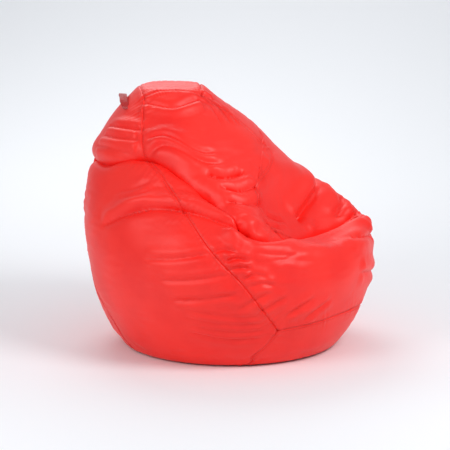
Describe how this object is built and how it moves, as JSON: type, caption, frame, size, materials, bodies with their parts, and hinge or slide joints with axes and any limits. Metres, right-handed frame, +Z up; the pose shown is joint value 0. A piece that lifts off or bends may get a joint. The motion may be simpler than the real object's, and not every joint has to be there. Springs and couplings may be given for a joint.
{
  "type": "bean bag chair",
  "caption": "Pear-shaped floor chair: a leaning fabric bag of bead fill with a hollowed seat, square top and base panels, a webbing carry handle and zips.",
  "frame": {"origin": "on the floor, under the middle of the bag's box", "axes": "+Z up; the sitter faces -Y, with the right hand towards -X; the backrest leans towards +Y"},
  "size_m": [0.8918, 0.9056, 0.79],
  "materials": {
    "cover_nylon": "woven nylon with a soft sheen",
    "handle_webbing": "flat webbing",
    "liner_cloth": "plain white lining cloth",
    "beads": "loose foam beads",
    "zip_tape": "woven zip tape",
    "zip_coil": "nylon coil",
    "liner_zip_tape": "woven zip tape",
    "liner_zip_coil": "nylon coil",
    "zip_metal": "tumbled"
  },
  "bodies": {
    "bag": {"front_panel": "cover_nylon", "left_panel": "cover_nylon", "right_panel": "cover_nylon", "back_panel": "cover_nylon", "base_panel": "cover_nylon", "top_panel": "cover_nylon", "handle_end_front": "handle_webbing", "handle_end_back": "handle_webbing", "liner_body": "liner_cloth", "liner_base": "liner_cloth", "bead_fill": "beads", "zip_tape_front": "zip_tape", "zip_coil_front": "zip_coil", "zip_tape_back": "zip_tape", "zip_coil_back": "zip_coil", "zip_stop_open_end": "zip_metal", "zip_stop_closed_end": "zip_metal", "liner_zip_tape_front": "liner_zip_tape", "liner_zip_coil_front": "liner_zip_coil", "liner_zip_tape_back": "liner_zip_tape", "liner_zip_coil_back": "liner_zip_coil", "liner_zip_stop_open_end": "zip_metal", "liner_zip_stop_closed_end": "zip_metal"},
    "zip_slider": {"zip_slider": "zip_metal"},
    "zip_pull": {"zip_pull": "zip_metal"},
    "carry_handle": {"handle_strap": "handle_webbing"},
    "liner_zip_slider": {"liner_zip_slider": "zip_metal"}
  },
  "joints": [
    {"name": "zip_slide", "type": "slide", "parent": "bag", "child": "zip_slider", "axis": [-1, 0, 0], "range_m": [0, 0.39]},
    {"name": "zip_pull_swing", "type": "hinge", "parent": "zip_slider", "child": "zip_pull", "pos_m": [0.1996, 0.13, 0.0008], "axis": [0, 1, 0], "range_deg": [-120, 0]},
    {"name": "handle_swing", "type": "hinge", "parent": "bag", "child": "carry_handle", "pos_m": [-0.08517, 0.33327, 0.7487], "axis": [0.829, 0.5592, 0], "range_deg": [0, 32]},
    {"name": "liner_zip_slide", "type": "slide", "parent": "bag", "child": "liner_zip_slider", "axis": [-1, 0, 0], "range_m": [0, 0.35]}
  ]
}
